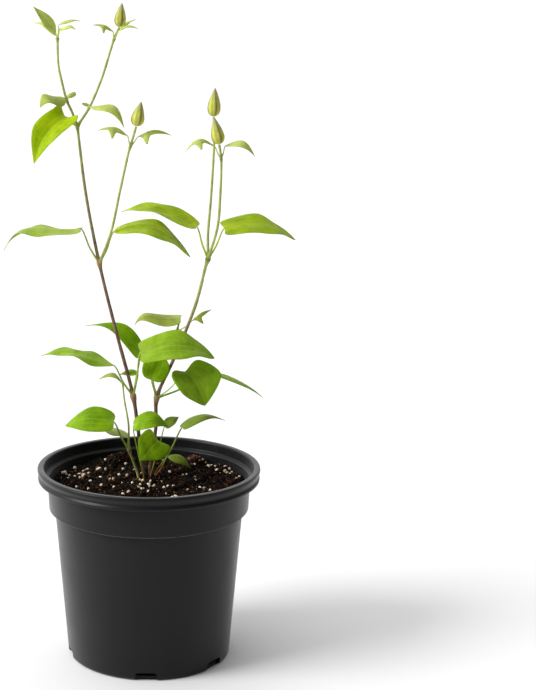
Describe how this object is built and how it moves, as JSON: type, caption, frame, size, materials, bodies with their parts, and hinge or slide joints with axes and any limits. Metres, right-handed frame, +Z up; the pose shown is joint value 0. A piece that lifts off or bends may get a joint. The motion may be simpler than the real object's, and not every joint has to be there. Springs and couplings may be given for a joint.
{
  "type": "potted clematis plant",
  "caption": "Young clematis plant in bud, with wiry stems, pointed ovate leaves and closed flower buds, growing in potting mix in a round plastic nursery pot with a rolled rim.",
  "frame": {"origin": "centre of the pot's flat base, on the surface that the pot stands on", "axes": "+Z up along the pot's axis; -Y towards the front, the side from which the leaf pairs spread widest to left and right; +X to the right as seen from the front"},
  "size_m": [0.222, 0.17, 0.4925],
  "materials": {
    "pot_plastic": "charcoal moulded polypropylene, softly satin, with a lighter worn rim",
    "potting_mix": "dark moist peat and bark mix with cream perlite grains",
    "woody_stem": "thin wiry stem, brown below and olive green above",
    "green_stem": "soft green shoot",
    "upper_leaf": "young yellow-green leaf, satin, with paler veins",
    "lower_leaf": "deeper green leaf, satin, with paler veins",
    "pale_leaf": "matt leaf, its pale underside showing",
    "bud_sepal": "yellow-green downy sepals with dull olive ribs"
  },
  "bodies": {
    "root": {"pot": "pot_plastic", "soil": "potting_mix", "left_stem": "woody_stem", "right_stem": "woody_stem", "basal_shoot": "green_stem", "bud_1": "bud_sepal", "bud_2": "bud_sepal", "bud_3": "bud_sepal", "bud_4": "bud_sepal", "top_leaf_1": "upper_leaf", "top_leaf_2": "upper_leaf", "top_leaf_3": "upper_leaf", "top_leaf_4": "upper_leaf", "pair_leaf_1": "pale_leaf", "pair_leaf_2": "pale_leaf", "left_heart_leaf": "upper_leaf", "fork_leaf_1": "upper_leaf", "fork_leaf_2": "pale_leaf", "bract_1": "upper_leaf", "bract_2": "upper_leaf", "bract_3": "upper_leaf", "bract_4": "upper_leaf", "bract_5": "upper_leaf", "bract_6": "upper_leaf", "bract_7": "upper_leaf", "left_joint_leaf_1": "upper_leaf", "left_joint_leaf_2": "upper_leaf", "right_crown_leaf_1": "upper_leaf", "right_crown_leaf_2": "upper_leaf", "right_joint_leaf_1": "lower_leaf", "right_joint_leaf_2": "lower_leaf", "right_joint_leaf_3": "lower_leaf", "side_shoot_leaf_1": "pale_leaf", "side_shoot_leaf_2": "pale_leaf", "left_low_leaf_1": "lower_leaf", "left_low_leaf_2": "lower_leaf", "left_low_leaf_3": "lower_leaf", "left_low_leaf_4": "lower_leaf", "basal_leaf_1": "lower_leaf", "basal_leaf_2": "pale_leaf", "basal_leaf_3": "pale_leaf", "low_leaf_1": "lower_leaf", "low_leaf_2": "lower_leaf", "low_leaf_3": "lower_leaf", "low_leaf_4": "lower_leaf", "low_leaf_5": "lower_leaf"}
  },
  "joints": []
}
